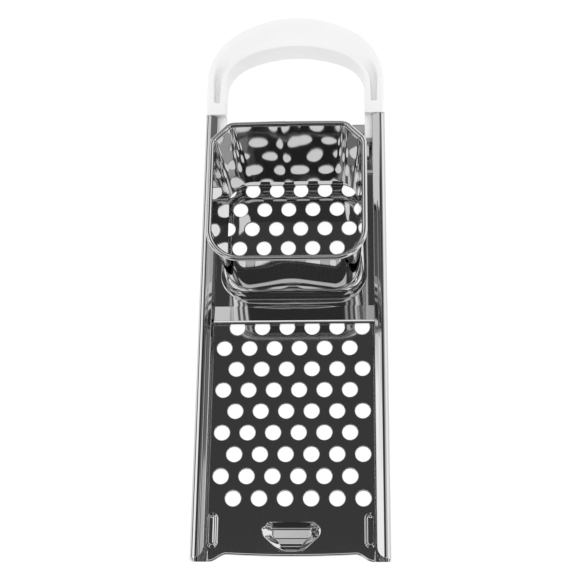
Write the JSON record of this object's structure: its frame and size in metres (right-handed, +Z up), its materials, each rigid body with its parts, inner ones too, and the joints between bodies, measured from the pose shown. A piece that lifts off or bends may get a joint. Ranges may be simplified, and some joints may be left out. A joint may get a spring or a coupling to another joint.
{
  "type": "sliding noodle maker",
  "caption": "Hand noodle maker: perforated steel plate with folded side rails, white bow handle, and a square steel hopper that slides along the rails to shear batter through the holes.",
  "frame": {"origin": "middle of the whole object's length and width, on the surface that it stands on", "axes": "+X across the rails, +Y along the rails towards the bow handle, +Z up, out of the hopper's mouth"},
  "size_m": [0.1018, 0.3154, 0.0679],
  "materials": {
    "polished_steel_base": "mirror-polished stainless steel sheet",
    "polished_steel_slider": "mirror-polished stainless steel sheet",
    "polished_steel_hopper": "mirror-polished stainless steel sheet, wrapped and lapped at the back",
    "white_plastic": "smooth white moulded plastic"
  },
  "bodies": {
    "base": {"perforated_plate": "polished_steel_base", "left_rail": "polished_steel_base", "right_rail": "polished_steel_base", "pot_hook": "polished_steel_base", "end_stops": "polished_steel_base", "bow_handle": "white_plastic"},
    "slider": {"slider_plate": "polished_steel_slider", "left_guide": "polished_steel_slider", "right_guide": "polished_steel_slider", "hopper_neck": "polished_steel_hopper", "hopper_wall": "polished_steel_hopper", "rolled_rim": "polished_steel_hopper"}
  },
  "joints": [
    {"name": "slider_run", "type": "slide", "parent": "base", "child": "slider", "axis": [0, -1, 0], "range_m": [-0.00575, 0.10215]}
  ]
}
